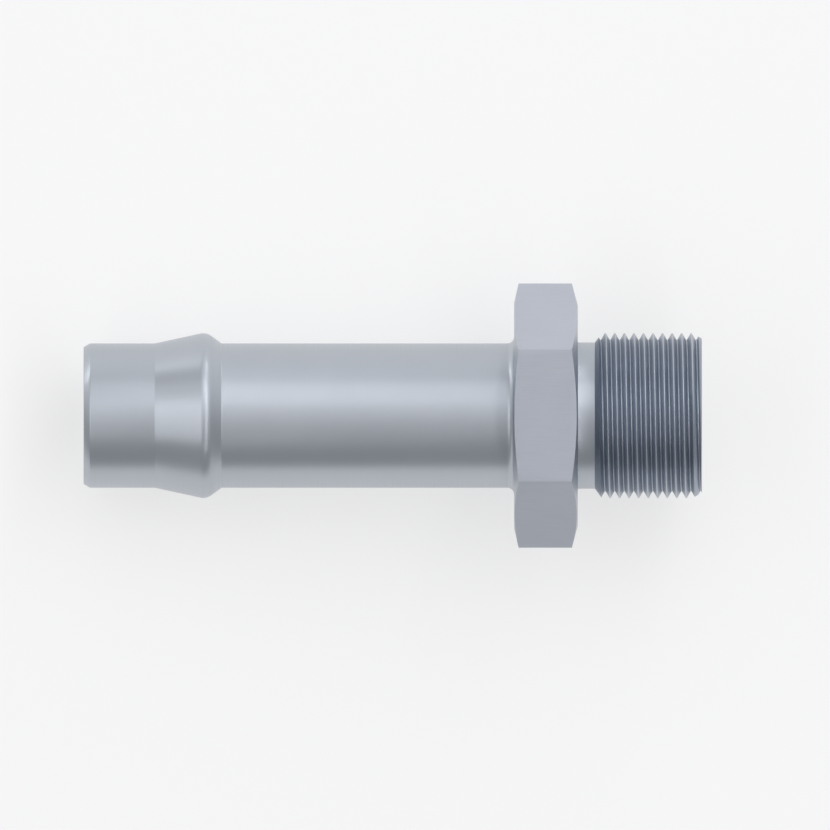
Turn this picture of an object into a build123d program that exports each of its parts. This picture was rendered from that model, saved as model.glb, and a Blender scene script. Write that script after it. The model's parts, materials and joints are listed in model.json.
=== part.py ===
from build123d import *

import os
from math import asin, atan2, ceil, cos, degrees, radians, sin, sqrt, tan

# A hose barb tail, turned in one piece from hexagon bar. A hose is pushed over the smooth tail and
# its barb, and the threaded end is screwed into a port with a wrench on the hexagon.
#
# Sizes are in millimetres. Places along the fitting's axis are measured from the shoulder, the face
# of the hexagon that seats against the port: the thread lies ahead of it and the tail behind it.

# Hexagon, with a turned chamfer on each face
hex_across_flats = 36.0
hex_width = 10.0
hex_front_diameter = 34.8  # flat ring that the chamfer leaves on the shoulder
hex_front_angle = 15.5  # degrees from the face
hex_back_diameter = 35.5
hex_back_angle = 13.0

# Hose tail and its barb, measured from the tail's open end
tail_length = 67.7
tail_diameter = 22.7
tail_end_chamfer = 1.0
tail_root_fillet = 1.1
barb_start_from_end = 11.2
barb_crest_from_end = 18.8
barb_foot_from_end = 21.7
barb_diameter = 25.9
barb_crest_radius = 2.2

# Threaded end, M26 x 1.5, with a 60 degree groove cut to a sharp V
stub_length = 19.5
thread_diameter = 26.0
thread_pitch = 1.5
thread_half_angle = 30.0
thread_end_chamfer = 1.5
relief_diameter = 23.0
relief_width = 2.7
relief_exit_angle = 54.0  # degrees from the axis

# Both ends are chamfered at this angle from the axis
end_chamfer_angle = 30.0

# Bore from end to end
bore_diameter = 18.0
bore_mouth_chamfer = 0.5

# Thread form
thread_crest_width = thread_pitch / 8
flank_slope = tan(radians(thread_half_angle))
thread_depth = (thread_pitch - thread_crest_width) / 2 / flank_slope

# Radii
tail_radius = tail_diameter / 2
barb_radius = barb_diameter / 2
thread_radius = thread_diameter / 2
thread_root_radius = thread_radius - thread_depth
relief_radius = relief_diameter / 2
bore_radius = bore_diameter / 2
bore_mouth_radius = bore_radius + bore_mouth_chamfer
hex_flat_radius = hex_across_flats / 2
hex_front_radius = hex_front_diameter / 2
hex_back_radius = hex_back_diameter / 2
clear_of_corners = hex_across_flats / sqrt(3) + 1.0
end_chamfer_slope = tan(radians(end_chamfer_angle))
tail_end_radius = tail_radius - tail_end_chamfer * end_chamfer_slope
stub_end_radius = thread_radius - thread_end_chamfer * end_chamfer_slope

# Places along the axis
hex_back = -hex_width
tail_end = hex_back - tail_length
barb_start = tail_end + barb_start_from_end
barb_crest = tail_end + barb_crest_from_end
barb_foot = tail_end + barb_foot_from_end
relief_exit = relief_width + (thread_radius - relief_radius) / tan(radians(relief_exit_angle))
hex_front_slope = tan(radians(hex_front_angle))
hex_back_slope = tan(radians(hex_back_angle))
hex_front_reach = (clear_of_corners - hex_front_radius) * hex_front_slope
hex_back_reach = (clear_of_corners - hex_back_radius) * hex_back_slope


def touch_point(start, centre, radius, turn):
    """Where a line from start touches a circle, turned (+1) or (-1) from the line to its centre."""
    to_centre = centre - start
    distance = to_centre.length
    heading = atan2(to_centre.Y, to_centre.X) + turn * asin(radius / distance)
    reach = sqrt(distance**2 - radius**2)
    return start + Vector(cos(heading), sin(heading)) * reach


# The barb's crest is an arc with a cone running up to it on each side
crest_centre = Vector(barb_crest, barb_radius - barb_crest_radius)
ramp_top = touch_point(Vector(barb_start, tail_radius), crest_centre, barb_crest_radius, 1)
back_top = touch_point(Vector(barb_foot, tail_radius), crest_centre, barb_crest_radius, -1)

# Laid down on one of its flats, the fitting tips until the barb's crest touches down too. It then
# rests on the crest and on the edge where the hexagon's back chamfer meets the flat.
hex_edge = Vector(hex_back + (hex_flat_radius - hex_back_radius) * hex_back_slope, hex_flat_radius)
crest_touch = touch_point(hex_edge, crest_centre, barb_crest_radius, -1)
rest_line = hex_edge - crest_touch
rest_tilt = atan2(rest_line.Y, rest_line.X)

# The origin is where the axis meets the shoulder
axis_direction = Vector(cos(rest_tilt), 0, sin(rest_tilt))
fitting_axis = Axis((0, 0, 0), axis_direction)
shoulder_plane = Plane(origin=(0, 0, 0), x_dir=(0, 1, 0), z_dir=axis_direction)
section_plane = Plane(origin=(0, 0, 0), x_dir=axis_direction, z_dir=(0, -1, 0))

# The thread groove is cut turn by turn, from inside the relief until it has run out past the end
groove_start = relief_width - thread_pitch / 6
groove_turns = ceil((stub_length - groove_start) / thread_pitch) + 1
groove_depth = thread_depth + thread_crest_width / 2
groove_half_width = groove_depth * flank_slope

with BuildPart() as groove_turn:
    with BuildLine() as groove_path:
        Helix(
            thread_pitch,
            thread_pitch,
            thread_root_radius,
            center=axis_direction * groove_start,
            direction=axis_direction,
        )
    path_start = groove_path.line @ 0
    outward = path_start - axis_direction * groove_start
    with BuildSketch(Plane(origin=path_start, x_dir=outward, z_dir=groove_path.line % 0)):
        with BuildLine():
            Polyline(
                (0, 0),
                (groove_depth, -groove_half_width),
                (groove_depth, groove_half_width),
                close=True,
            )
        make_face()
    sweep(path=groove_path.line, is_frenet=True)

with BuildPart() as hose_barb_tail:
    # Hexagon bar
    with BuildSketch(shoulder_plane.offset(tail_end)):
        RegularPolygon(hex_flat_radius, 6, major_radius=False)
    extrude(amount=stub_length - tail_end)

    # Everything that is turned: tail, barb, chamfers, relief, threaded end and bore
    with BuildSketch(section_plane):
        with BuildLine():
            Polyline(
                (tail_end + bore_mouth_chamfer, bore_radius),
                (tail_end, bore_mouth_radius),
                (tail_end, tail_end_radius),
                (tail_end + tail_end_chamfer, tail_radius),
                (barb_start, tail_radius),
                ramp_top,
            )
            ThreePointArc(ramp_top, (barb_crest, barb_radius), back_top)
            Polyline(
                back_top,
                (barb_foot, tail_radius),
                (hex_back - tail_root_fillet, tail_radius),
            )
            TangentArc(
                (hex_back - tail_root_fillet, tail_radius),
                (hex_back, tail_radius + tail_root_fillet),
                tangent=(1, 0),
            )
            Polyline(
                (hex_back, tail_radius + tail_root_fillet),
                (hex_back, hex_back_radius),
                (hex_back + hex_back_reach, clear_of_corners),
                (-hex_front_reach, clear_of_corners),
                (0, hex_front_radius),
                (0, relief_radius),
                (relief_width, relief_radius),
                (relief_exit, thread_radius),
                (stub_length - thread_end_chamfer, thread_radius),
                (stub_length, stub_end_radius),
                (stub_length, bore_mouth_radius),
                (stub_length - bore_mouth_chamfer, bore_radius),
                (tail_end + bore_mouth_chamfer, bore_radius),
            )
        make_face()
    revolve(axis=fitting_axis, mode=Mode.INTERSECT)

    # Thread
    with Locations(*[axis_direction * thread_pitch * turn for turn in range(groove_turns)]):
        add(groove_turn.part, mode=Mode.SUBTRACT)

hose_barb_tail.part.label = "hose_barb_tail"

os.makedirs("parts", exist_ok=True)
export_step(hose_barb_tail.part, "parts/hose_barb_tail.step")

print(f"volume {hose_barb_tail.part.volume:.1f} mm3, valid {hose_barb_tail.part.is_valid}")
print(f"rest tilt {degrees(rest_tilt):.3f} degrees, axis {tuple(axis_direction)}")
print(f"bounding box {hose_barb_tail.part.bounding_box()}")
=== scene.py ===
# %% [markdown]
# # A hose barb tail
# This fitting joins a hose to a machine. It is turned in one piece from hexagon bar: the hose is pushed
# over the smooth tail and its rounded barb, a wrench turns the hexagon, and the male thread goes into
# the port until the hexagon's face seats.
#
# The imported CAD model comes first. It is the fixed frame: its size and place stay. What is made here is
# a finer copy of the same shape, with small broken edges and a finish that takes the light as machined
# steel does.

# %% Load the frame
import json
from math import asin, atan2, cos, pi, radians, sin, sqrt, tan

import bmesh
import bpy
from mathutils import Matrix, Vector


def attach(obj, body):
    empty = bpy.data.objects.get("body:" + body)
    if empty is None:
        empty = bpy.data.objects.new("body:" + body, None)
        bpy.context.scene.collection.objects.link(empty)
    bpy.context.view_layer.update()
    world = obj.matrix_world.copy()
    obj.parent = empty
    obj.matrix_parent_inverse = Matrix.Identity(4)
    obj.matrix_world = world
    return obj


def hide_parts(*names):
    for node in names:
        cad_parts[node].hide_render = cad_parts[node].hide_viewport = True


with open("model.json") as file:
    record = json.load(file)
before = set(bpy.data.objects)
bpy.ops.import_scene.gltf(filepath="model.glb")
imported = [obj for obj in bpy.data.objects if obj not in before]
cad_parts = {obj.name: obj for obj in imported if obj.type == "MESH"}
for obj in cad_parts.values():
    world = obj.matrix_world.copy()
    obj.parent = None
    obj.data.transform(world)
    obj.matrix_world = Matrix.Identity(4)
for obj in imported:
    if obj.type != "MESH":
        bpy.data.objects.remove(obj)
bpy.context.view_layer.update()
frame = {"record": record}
mounts = {mount["name"]: mount for mount in frame["record"]["mounts"]}

# %% [markdown]
# ## Sizes
# The sizes are those of the CAD part, in millimetres, as on a lathe drawing. Places along the axis are
# measured from the shoulder, the face of the hexagon that seats on the port. The piece is modelled along
# X at this scale and laid in its place at the end: with numbers near 1, merging doubles and cutting
# solids stay exact, which they don't with numbers near 0.001.

# %% Sizes of the fitting
hex_across_flats, hex_width = 36.0, 10.0
hex_front_radius, hex_front_angle = 17.4, radians(15.5)
hex_back_radius, hex_back_angle = 17.75, radians(13.0)

tail_length, tail_radius = 67.7, 11.35
tail_end_chamfer, tail_root_fillet = 1.0, 1.1
barb_start_from_end, barb_crest_from_end, barb_foot_from_end = 11.2, 18.8, 21.7
barb_radius, barb_crest_radius = 12.95, 2.2

stub_length, thread_radius, thread_pitch = 19.5, 13.0, 1.5
thread_end_chamfer = 1.5
relief_radius, relief_width, relief_exit_angle = 11.5, 2.7, radians(54.0)
end_chamfer_slope = tan(radians(30.0))

bore_radius, bore_mouth_chamfer = 9.0, 0.5

hex_back = -hex_width
tail_end = hex_back - tail_length
barb_start = tail_end + barb_start_from_end
barb_crest = tail_end + barb_crest_from_end
barb_foot = tail_end + barb_foot_from_end
relief_exit = relief_width + (thread_radius - relief_radius) / tan(relief_exit_angle)
corner_radius = hex_across_flats / sqrt(3)
clear_of_corners = corner_radius + 1.0

axis = Vector(mounts["through_bore"]["axis"])
rest_tilt = atan2(axis.z, axis.x)
print(f"the axis rises {rest_tilt * 180 / pi:.2f} degrees towards the thread")

# %% [markdown]
# ## Small helpers
# An operator acts on whatever is selected, so each step starts with nothing selected, and picks its
# faces or points in code, by their place.

# %% Helpers for selecting and applying


def alone(piece):
    """Leaves edit mode, selects one piece and makes it active."""
    if bpy.context.mode != "OBJECT":
        bpy.ops.object.mode_set(mode="OBJECT")
    bpy.ops.object.select_all(action="DESELECT")
    piece.select_set(True)
    bpy.context.view_layer.objects.active = piece


def pick(piece, kind, wanted):
    """Selects the vertices, edges or faces for which wanted is true, and stays in edit mode."""
    alone(piece)
    bpy.ops.object.mode_set(mode="EDIT")
    bpy.ops.mesh.select_mode(type={"verts": "VERT", "edges": "EDGE", "faces": "FACE"}[kind])
    bpy.ops.mesh.select_all(action="DESELECT")
    mesh = bmesh.from_edit_mesh(piece.data)
    chosen = [element for element in getattr(mesh, kind) if wanted(element)]
    for element in chosen:
        element.select_set(True)
    mesh.select_flush_mode()
    bmesh.update_edit_mesh(piece.data)
    return len(chosen)


def apply_modifier(piece, kind, **settings):
    """Adds a modifier, sets it and applies it."""
    alone(piece)
    modifier = piece.modifiers.new(kind.title(), kind)
    for name, value in settings.items():
        setattr(modifier, name, value)
    bpy.ops.object.modifier_apply(modifier=modifier.name)


def close_up(piece):
    """Merges doubled points and turns every face outwards."""
    pick(piece, "verts", lambda vertex: True)
    bpy.ops.mesh.remove_doubles(threshold=0.0005)
    bpy.ops.mesh.normals_make_consistent(inside=False)
    alone(piece)
    return len(piece.data.polygons)


# %% [markdown]
# ## The turned outline
# A lathe gives every surface except the flats and the thread. Its section is drawn the way a drawing
# gives it, corner by corner, and spun round the axis. The two places where the section is truly round
# are arcs: the crest of the barb, so that the hose slides over it, and the root of the tail, where a
# sharp corner would crack.

# %% Draw the section, corner by corner


def arc(centre, radius, start, end, steps):
    """Points along an arc, from the angle start to the angle end."""
    angles = [start + (end - start) * step / steps for step in range(steps + 1)]
    return [Vector((centre[0] + radius * cos(a), centre[1] + radius * sin(a))) for a in angles]


def touch_angle(start, centre, radius, turn):
    """The angle on a circle, seen from its centre, where a line from start touches it."""
    away = Vector(start) - Vector(centre)
    return atan2(away.y, away.x) + turn * (pi / 2 - asin(radius / away.length))


crest_centre = (barb_crest, barb_radius - barb_crest_radius)
ramp_touch = touch_angle((barb_start, tail_radius), crest_centre, barb_crest_radius, -1)
back_touch = touch_angle((barb_foot, tail_radius), crest_centre, barb_crest_radius, 1)
ramp_touch = ramp_touch + 2 * pi if ramp_touch < 0 else ramp_touch
crest_arc = arc(crest_centre, barb_crest_radius, ramp_touch, back_touch, 12)

fillet_centre = (hex_back - tail_root_fillet, tail_radius + tail_root_fillet)
root_arc = arc(fillet_centre, tail_root_fillet, -pi / 2, 0, 10)

outline = [
    (tail_end + bore_mouth_chamfer, bore_radius),
    (tail_end, bore_radius + bore_mouth_chamfer),
    (tail_end, tail_radius - tail_end_chamfer * end_chamfer_slope),
    (tail_end + tail_end_chamfer, tail_radius),
    (barb_start, tail_radius),
    *crest_arc,
    (barb_foot, tail_radius),
    *root_arc,
    (hex_back, hex_back_radius),
    (hex_back + (clear_of_corners - hex_back_radius) * tan(hex_back_angle), clear_of_corners),
    (-(clear_of_corners - hex_front_radius) * tan(hex_front_angle), clear_of_corners),
    (0, hex_front_radius),
    (0, relief_radius),
    (relief_width, relief_radius),
    (relief_exit, thread_radius),
    (stub_length - thread_end_chamfer, thread_radius),
    (stub_length, thread_radius - thread_end_chamfer * end_chamfer_slope),
    (stub_length, bore_radius + bore_mouth_chamfer),
    (stub_length - bore_mouth_chamfer, bore_radius),
]
crest_angles = [round(angle * 180 / pi) for angle in (ramp_touch, back_touch)]
print(len(outline), "corners, crest arc between the angles", crest_angles)

# %% [markdown]
# A line is drawn as one would click it in by hand: one point of a small plane is kept, and each next
# corner is extruded from the last.

# %% Draw a line of corners


def drawn_line(name, corners):
    """A line through the corners, given as station and radius."""
    bpy.ops.object.select_all(action="DESELECT")
    bpy.ops.mesh.primitive_plane_add(size=1.0, location=(0, 0, 0))
    line = bpy.context.object
    line.name = name
    line.data.vertices[0].co = (corners[0][0], 0, corners[0][1])
    first = line.data.vertices[0].co.copy()
    pick(line, "verts", lambda vertex: (vertex.co - first).length > 1e-6)
    bpy.ops.mesh.delete(type="VERT")
    pick(line, "verts", lambda vertex: True)
    for here, there in zip(corners, corners[1:]):
        step = (there[0] - here[0], 0, there[1] - here[1])
        bpy.ops.mesh.extrude_vertices_move(TRANSFORM_OT_translate={"value": step})
    return line


turned = drawn_line("turned_outline", outline)
print(turned.name, "drawn")

# %% [markdown]
# Closed with a face, the outline can have its sharp corners broken by a tenth of a millimetre, which is
# what catches the light along a machined edge. Then the face goes and the outline is spun round the axis.

# %% Break the edges and spin the section
edge_break, spin_steps = 0.1, 216
pick(turned, "verts", lambda vertex: True)
bpy.ops.mesh.edge_face_add()
arcs = [Vector((p[0], 0, p[1])) for p in crest_arc + root_arc]
crisp = pick(turned, "verts", lambda vertex: all((vertex.co - p).length > 0.01 for p in arcs))
bpy.ops.mesh.bevel(affect="VERTICES", offset=edge_break, segments=3)
pick(turned, "faces", lambda face: True)
bpy.ops.mesh.delete(type="ONLY_FACE")
pick(turned, "verts", lambda vertex: True)
bpy.ops.mesh.spin(steps=spin_steps, angle=2 * pi, center=(0, 0, 0), axis=(1, 0, 0))
print(crisp, "edges broken,", close_up(turned), "faces after the spin")

# %% [markdown]
# ## The hexagon bar
# A six-sided primitive is the bar as it is bought, with its long corners drawn slightly round. It runs
# from beyond the tail's end to just past the shoulder. Laid along X, it has two corners that point
# sideways, so that a flat lies on top and another underneath.

# %% Hexagon bar with rounded corners
bar_start, bar_end = tail_end - 1.0, 1.2
long_edge_round = 0.05
bpy.ops.object.select_all(action="DESELECT")
bpy.ops.mesh.primitive_cylinder_add(
    vertices=6,
    radius=corner_radius,
    depth=bar_end - bar_start,
    location=((bar_start + bar_end) / 2, 0, 0),
    rotation=(0, pi / 2, 0),
)
fitting = bpy.context.object
fitting.name = "hose_barb_tail_steel"
bpy.ops.object.transform_apply(location=True, rotation=True, scale=True)
pick(fitting, "edges", lambda edge: abs(edge.verts[0].co.x - edge.verts[1].co.x) > 1.0)
bpy.ops.mesh.bevel(offset=long_edge_round, segments=2)
alone(fitting)
print("bar", [round(size, 2) for size in fitting.dimensions])

# %% [markdown]
# ## The thread
# A thread is one groove that climbs a pitch in each turn. One pitch of its outline is drawn, crest to
# crest, and a Screw modifier carries it round and along. A tool never leaves a perfectly sharp edge, so
# the crest is a narrow flat with rounded shoulders, which draws the thin bright line on each turn, and
# the root is slightly round. The rod is screwed too long and cut square at both ends, so that it is
# closed with the true cross-section of a thread.

# %% One pitch of the thread, carried round and along
groove_start = relief_width - thread_pitch / 6
flank = tan(radians(30.0))
crest_half, crest_drop, root_half, root_drop = 0.08, 0.035, 0.065, 0.02
root_radius = thread_radius - crest_drop - (thread_pitch / 2 - crest_half - root_half) / flank - root_drop
pitch_points = [
    (0.0, thread_radius),
    (crest_half * 0.55, thread_radius - crest_drop * 0.15),
    (crest_half, thread_radius - crest_drop),
    (thread_pitch / 2 - root_half, root_radius + root_drop),
    (thread_pitch / 2, root_radius),
    (thread_pitch / 2 + root_half, root_radius + root_drop),
    (thread_pitch - crest_half, thread_radius - crest_drop),
    (thread_pitch - crest_half * 0.55, thread_radius - crest_drop * 0.15),
    (thread_pitch, thread_radius),
]
rod_start = groove_start - thread_pitch / 2 - 4 * thread_pitch
turns, steps_a_turn = 20, 192
rod = drawn_line("threaded_rod", [(rod_start + along, radius) for along, radius in pitch_points])
apply_modifier(
    rod,
    "SCREW",
    axis="X",
    angle=2 * pi,
    screw_offset=thread_pitch,
    iterations=turns,
    steps=steps_a_turn,
    render_steps=steps_a_turn,
    use_smooth_shade=True,
)
close_up(rod)
rod_ends = (-1.5, stub_length + 1.0)
for end, side in zip(rod_ends, (-1, 1)):
    pick(rod, "faces", lambda face: True)
    bpy.ops.mesh.bisect(
        plane_co=(end, 0, 0), plane_no=(side, 0, 0), use_fill=True, clear_outer=True, threshold=1e-5
    )
close_up(rod)
print("threaded rod", [round(size, 2) for size in rod.dimensions], len(rod.data.polygons), "faces")

# %% [markdown]
# ## Cutting
# The bar and the threaded rod are joined, and the turned outline keeps only what the lathe would leave.
# A cut with closed solids gives the curved edges where the turned chamfers meet the flats, and the
# thread's run into its relief groove, exactly as machining does.

# %% Join the bar and the rod, and keep what lies inside the turned outline
apply_modifier(fitting, "BOOLEAN", object=rod, operation="UNION", solver="MANIFOLD")
apply_modifier(fitting, "BOOLEAN", object=turned, operation="INTERSECT", solver="MANIFOLD")
bpy.data.objects.remove(rod)
bpy.data.objects.remove(turned)
print("fitting", [round(size, 2) for size in fitting.dimensions], len(fitting.data.polygons), "faces")

# %% [markdown]
# The steps round the axis have to shade as one round surface, and the true edges have to stay crisp.
# Smooth shading that stops at a set angle gives both: a step turns less than 2 degrees, an edge more
# than 28. Every edge of a closed solid has two faces, so the count of open edges has to be nought.

# %% Smooth shading, broken at the true edges
alone(fitting)
bpy.ops.object.shade_smooth_by_angle(angle=radians(28))
loose = bmesh.new()
loose.from_mesh(fitting.data)
print("open edges", sum(1 for edge in loose.edges if not edge.is_manifold))
loose.free()

# %% [markdown]
# ## Lay it in its place
# The fitting lies on the edge of one flat and on the crest of its barb, so its axis rises a few degrees
# towards the thread. The turn, and the change from millimetres to metres, are applied to the mesh, and
# the object itself stays unturned at the origin, as the CAD node is.

# %% Turn to the rest tilt and scale to metres
alone(fitting)
fitting.matrix_world = Matrix.Rotation(-rest_tilt, 4, "Y") @ Matrix.Diagonal((0.001, 0.001, 0.001, 1))
bpy.ops.object.transform_apply(location=True, rotation=True, scale=True)
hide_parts("hose_barb_tail")
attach(fitting, "root")
print("laid down, size in metres", [round(size, 4) for size in fitting.dimensions])

# %% [markdown]
# ## Steel
# The real piece is turned, then plated to a bright satin, so it mirrors broad light and dark and no sharp
# pictures. A finish is made of shader nodes, and two small helpers keep their wiring readable.

# %% Helpers for shader nodes


def node(tree, kind, inputs, **settings):
    """Adds a shader node. An input is either a value or the output that is joined to it."""
    made = tree.nodes.new("ShaderNode" + kind)
    for name, value in settings.items():
        setattr(made, name, value)
    for socket, value in inputs.items():
        if isinstance(value, bpy.types.NodeSocket):
            tree.links.new(value, made.inputs[socket])
        else:
            made.inputs[socket].default_value = value
    return made


def maths(tree, operation, *values):
    """The result of one sum on numbers."""
    return node(tree, "Math", dict(enumerate(values)), operation=operation).outputs[0]


def ranged(tree, value, low, high, at_low, at_high):
    """Turns the numbers from low to high into at_low to at_high."""
    ends = {"Value": value, "From Min": low, "From Max": high, "To Min": at_low, "To Max": at_high}
    return node(tree, "MapRange", ends).outputs["Result"]


# %% [markdown]
# The finish follows the axis, which isn't level. The Mapping node turns the object's coordinates level
# and back into millimetres, and from them come the two numbers that a lathe works with: the station along
# the axis and the distance from it.

# %% Station and distance of every point of the steel
steel = bpy.data.materials.new("turned_steel")
steel.use_nodes = True
tree = steel.node_tree
shader = tree.nodes["Principled BSDF"]
place = node(tree, "TexCoord", {}).outputs["Object"]
levelled = {"Vector": place, "Rotation": (0, rest_tilt, 0), "Scale": (1000, 1000, 1000)}
level_place = node(tree, "Mapping", levelled).outputs["Vector"]
parts = node(tree, "SeparateXYZ", {"Vector": level_place})
station = parts.outputs["X"]
spoke = node(tree, "CombineXYZ", {"Y": parts.outputs["Y"], "Z": parts.outputs["Z"]}).outputs["Vector"]
distance = node(tree, "VectorMath", {0: spoke}, operation="LENGTH").outputs["Value"]
print("material", steel.name)

# %% [markdown]
# Turning leaves fine rings: round the barrel, and as circles on the faces square to the axis. A
# one-dimensional noise that reads station plus distance draws both. The flats aren't turned: they are
# the drawn surface of the bar, duller and with faint lines along it, so they get a noise that is
# stretched lengthwise. Both noises only change the roughness and the bump by a trace. The flats are told
# apart by two things: they run along the axis, and nothing else that does lies so far from it.

# %% Turned rings, and the drawn grain of the flats
travel = maths(tree, "ADD", station, distance)
turning = {"W": travel, "Scale": 5.0, "Detail": 3.0, "Roughness": 0.6}
rings = node(tree, "TexNoise", turning, noise_dimensions="1D").outputs["Fac"]
stretched = node(tree, "Mapping", {"Vector": level_place, "Scale": (0.2, 6.0, 6.0)}).outputs["Vector"]
grain = node(tree, "TexNoise", {"Vector": stretched, "Scale": 1.0, "Detail": 3.0}).outputs["Fac"]

facing = {0: node(tree, "NewGeometry", {}).outputs["True Normal"], 1: tuple(axis)}
lean = node(tree, "VectorMath", facing, operation="DOT_PRODUCT").outputs["Value"]
most_lean, least_distance = 0.05, hex_across_flats / 2 - 0.1
along_axis = maths(tree, "LESS_THAN", maths(tree, "ABSOLUTE", lean), most_lean)
far_out = maths(tree, "GREATER_THAN", distance, least_distance)
on_flats = maths(tree, "MULTIPLY", along_axis, far_out)
marks = node(tree, "Mix", {0: on_flats, 2: rings, 3: grain}, data_type="FLOAT").outputs[0]

polished, dull, flats_duller = 0.31, 0.43, 0.28
turned_roughness = ranged(tree, marks, 0.2, 0.8, polished, dull)
roughness = maths(tree, "MULTIPLY_ADD", on_flats, flats_duller, turned_roughness)
tree.links.new(roughness, shader.inputs["Roughness"])
bump = {"Height": marks, "Strength": 0.12, "Distance": 0.00003}
tree.links.new(node(tree, "Bump", bump).outputs["Normal"], shader.inputs["Normal"])
print("roughness from", polished, "to", dull, "and", flats_duller, "more on the flats")

# %% [markdown]
# Rings scatter light across themselves more than along themselves, which is what draws the soft wedges of
# light on a turned end. The tangent runs round the axis, along the rings, and a quarter turn sets the
# wider scatter across them. On the flats the tangent is the axis, so they scatter widely across their
# lengthwise lines, which gives each flat a tone of its own from its side of the room.

# %% Scatter across the rings and across the drawn lines
arms = {0: tuple(axis), 1: place}
around = node(tree, "VectorMath", arms, operation="CROSS_PRODUCT").outputs["Vector"]
ways = {0: on_flats, 4: around, 5: tuple(axis)}
along_marks = node(tree, "Mix", ways, data_type="VECTOR").outputs[1]
tree.links.new(along_marks, shader.inputs["Tangent"])
ring_scatter, flat_scatter = 0.3, 0.6
scatter = ranged(tree, on_flats, 0.0, 1.0, ring_scatter, flat_scatter)
tree.links.new(scatter, shader.inputs["Anisotropic"])
shader.inputs["Anisotropic Rotation"].default_value = 0.25
shader.inputs["Metallic"].default_value = 1.0
print("scatter", ring_scatter, "across the rings and", flat_scatter, "across the drawn lines")

# %% [markdown]
# The plating's colour is a slightly blue grey that drifts a little, and it is a tenth lighter on the dull
# flats.
# The flanks of the thread and the cone that leads into it are painted darker: painted shade for the shade
# that falls into the grooves and onto the cone beside the hexagon's face. The crests keep the plated
# colour, and the bottom of the groove takes a quarter of the painted shade. The distance from the axis
# tells them apart.

# %% Plated colour, with painted shade on the flanks of the thread
drift = node(tree, "TexNoise", {"Vector": level_place, "Scale": 0.12, "Detail": 2.0}).outputs["Fac"]
bright, brighter = (0.465, 0.495, 0.54, 1), (0.495, 0.525, 0.57, 1)
# The first colour on the next line is painted shade for the thread's flanks and exit cone, not a colour of
# the steel.
groove_shade_colour, flat_gain = (0.345, 0.385, 0.45, 1), (1.13, 1.11, 1.12, 1)
plated = node(tree, "Mix", {0: drift, 6: bright, 7: brighter}, data_type="RGBA").outputs[2]

flank_top, crest_foot = thread_radius - 0.14, thread_radius - 0.03
root_top, flank_foot = root_radius + 0.03, root_radius + 0.12
below_crest = ranged(tree, distance, flank_top, crest_foot, 1.0, 0.0)
above_root = ranged(tree, distance, root_top, flank_foot, 0.25, 1.0)
flanks = maths(tree, "MULTIPLY", below_crest, above_root)
exit_cone = maths(tree, "LESS_THAN", station, relief_exit + 0.1)
ahead_of_relief = maths(tree, "GREATER_THAN", station, relief_width)
outside = maths(tree, "GREATER_THAN", distance, bore_radius + bore_mouth_chamfer)
on_thread = maths(tree, "MULTIPLY", ahead_of_relief, outside)
# Painted shade: the flanks and the cone beside the hexagon's face are darkened in colour for the shade that
# falls in the grooves.
dark = maths(tree, "MULTIPLY", on_thread, maths(tree, "MAXIMUM", flanks, exit_cone))
shaded_plating = node(tree, "Mix", {0: dark, 6: plated, 7: groove_shade_colour}, data_type="RGBA").outputs[2]
lighter = {0: on_flats, 6: shaded_plating, 7: flat_gain}
finish = node(tree, "Mix", lighter, data_type="RGBA", blend_type="MULTIPLY").outputs[2]
tree.links.new(finish, shader.inputs["Base Color"])
fitting.data.materials.clear()
fitting.data.materials.append(steel)
print("flanks are darker between radius", round(root_radius, 2), "and", thread_radius)

# %% [markdown]
# ## Floor
# The fitting lies on a plain white floor. Most of the floor's white is its own, for the camera and for
# what the steel mirrors, and the rest takes the light, so the object keeps a soft shadow.

# %% White floor
floor_height = min(vertex.co.z for vertex in fitting.data.vertices)
floor_width, own_share = 6.0, 0.6
bpy.ops.object.select_all(action="DESELECT")
bpy.ops.mesh.primitive_plane_add(size=floor_width, location=(0, 0, floor_height))
floor = bpy.context.object
floor.name = "floor"
white = bpy.data.materials.new("white_floor")
white.use_nodes = True
tree = white.node_tree
paper = tree.nodes["Principled BSDF"]
paper.inputs["Base Color"].default_value = (0.95, 0.95, 0.95, 1)
paper.inputs["Roughness"].default_value = 0.9
glow = node(tree, "Emission", {"Color": (1, 1, 1, 1), "Strength": 1.0})
ray = node(tree, "LightPath", {}).outputs
mirrored = maths(tree, "MAXIMUM", ray["Is Glossy Ray"], ray["Is Transmission Ray"])
seen = maths(tree, "MAXIMUM", ray["Is Camera Ray"], mirrored)
own_white = maths(tree, "MULTIPLY", seen, own_share)
mixed = node(tree, "MixShader", {0: own_white, 1: paper.outputs[0], 2: glow.outputs[0]})
tree.links.new(mixed.outputs[0], tree.nodes["Material Output"].inputs["Surface"])
floor.data.materials.append(white)
print("floor at", round(floor_height, 5), "m, with", own_share, "of its white its own")

# %% [markdown]
# ## Camera
# The photograph looks straight down at the fitting with almost no perspective, so the camera is
# orthographic. It looks square to the fitting's axis, with the hose end at the left. The width of the
# picture and its middle, in metres from the shoulder, are those of the photograph.

# %% Camera square to the axis
upwards = Vector((0, 1, 0))
towards = axis.cross(upwards)
picture_width, camera_away = 0.13049, 0.4
middle = axis * -0.02559 + upwards * 0.000091
lens = bpy.data.cameras.new("camera")
lens.type = "ORTHO"
lens.ortho_scale = picture_width
camera = bpy.data.objects.new("camera", lens)
bpy.context.collection.objects.link(camera)
turn = Matrix((axis, upwards, towards)).transposed().to_4x4()
camera.matrix_world = Matrix.Translation(middle + towards * camera_away) @ turn
bpy.context.scene.camera = camera
bpy.context.scene.view_settings.view_transform = "Standard"
print("camera at", [round(value, 3) for value in camera.location])

# %% [markdown]
# ## Room and lamps
# Steel shows only what stands round it, so the room and the lamps are placed by what they draw on the
# fitting. Their directions are counted from the camera, the way the fitting mirrors them.

# %% A direction counted from the camera


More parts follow.
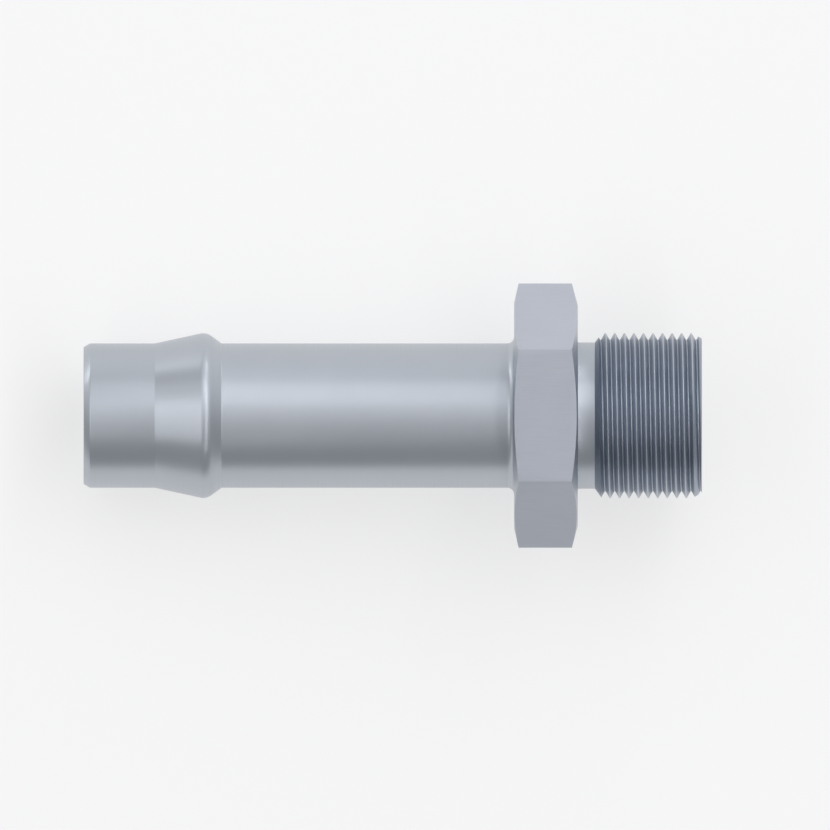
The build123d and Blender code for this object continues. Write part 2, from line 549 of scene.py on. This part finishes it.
def heading(ahead, aside):
    """A direction, in degrees off the camera: ahead towards the thread, aside towards the picture's top."""
    a, b = radians(ahead), radians(aside)
    return axis * sin(a) + (upwards * sin(b) + towards * cos(b)) * cos(a)


# %% [markdown]
# The room is bright on the far side and darker on the near side, and a little darker ahead and behind, so
# that the end faces stand off from the flats. Its brightness follows the direction alone, and the steel
# draws it as long soft bands. A dark flag low on the far side gives the barb's ramp its dark band. Below
# the horizon the room is nearly as white as the floor.

# %% A room that is bright on one side
near_grey, far_grey, floor_grey = (0.38, 0.39, 0.40, 1), (0.84, 0.86, 0.88, 1), (0.93, 0.93, 0.93, 1)
greys_between = ((0.2, 0.39), (0.35, 0.48), (0.5, 0.70), (0.65, 0.82))
darker_ends = 0.15
flag_heading, flag_depth = heading(-22, 66), 0.65
flag_edge, flag_core = cos(radians(20)), cos(radians(8))

world = bpy.data.worlds.new("studio")
bpy.context.scene.world = world
world.use_nodes = True
tree = world.node_tree
look = node(tree, "TexCoord", {}).outputs["Generated"]
aim = node(tree, "SeparateXYZ", {"Vector": look}).outputs
ends = maths(tree, "MULTIPLY", maths(tree, "MULTIPLY", aim["X"], aim["X"]), darker_ends)
across = maths(tree, "SUBTRACT", ranged(tree, aim["Y"], -1.0, 1.0, 0.0, 1.0), ends)
flag_aim = {0: look, 1: tuple(flag_heading)}
to_flag = node(tree, "VectorMath", flag_aim, operation="DOT_PRODUCT").outputs["Value"]
flag = ranged(tree, to_flag, flag_edge, flag_core, 0.0, flag_depth)
walls = node(tree, "ValToRGB", {"Fac": maths(tree, "SUBTRACT", across, flag)})
near_end, far_end = walls.color_ramp.elements
near_end.color, far_end.color = near_grey, far_grey
for position, value in greys_between:
    walls.color_ramp.elements.new(position).color = (value, value * 1.01, value * 1.03, 1)
below = maths(tree, "LESS_THAN", aim["Z"], 0.0)
levels = {0: below, 6: walls.outputs["Color"], 7: floor_grey}
room = node(tree, "Mix", levels, data_type="RGBA").outputs[2]
tree.links.new(room, tree.nodes["Background"].inputs["Color"])
print("the room goes from", near_grey[1], "near to", far_grey[1], "far")

# %% [markdown]
# Softboxes give what the room can't: a broad one draws the bright band along the tail, two thin ones in a
# row the line on the barb's crest, another the band on the barb's ramp, and a low one behind the hose end
# lights the end chamfer and the fillet at the tail's root.

# %% Softboxes


def softbox(name, ahead, aside, size, power, away=0.55):
    """A rectangular lamp turned to the fitting, with its length in the way that aside turns it."""
    out, lengthwise = heading(ahead, aside), heading(0, aside + 90)
    lamp = bpy.data.lights.new(name, "AREA")
    lamp.shape = "RECTANGLE"
    lamp.size, lamp.size_y = size
    lamp.energy = power
    box = bpy.data.objects.new(name, lamp)
    bpy.context.collection.objects.link(box)
    turn = Matrix((lengthwise.cross(out), lengthwise, out)).transposed().to_4x4()
    box.matrix_world = Matrix.Translation(middle + out * away) @ turn
    print(name, "at", [round(value, 2) for value in box.location])


softbox("main_softbox", 13, 37, (0.38, 0.40), 0.215)
softbox("crest_strip", 25, 0, (0.05, 1.20), 0.66)
softbox("crest_end_strip", 18, 74, (0.05, 0.22), 0.11)
softbox("ramp_strip", -27, -7, (0.10, 0.60), 0.33)
softbox("end_softbox", -42, 86, (0.30, 0.06), 0.30)
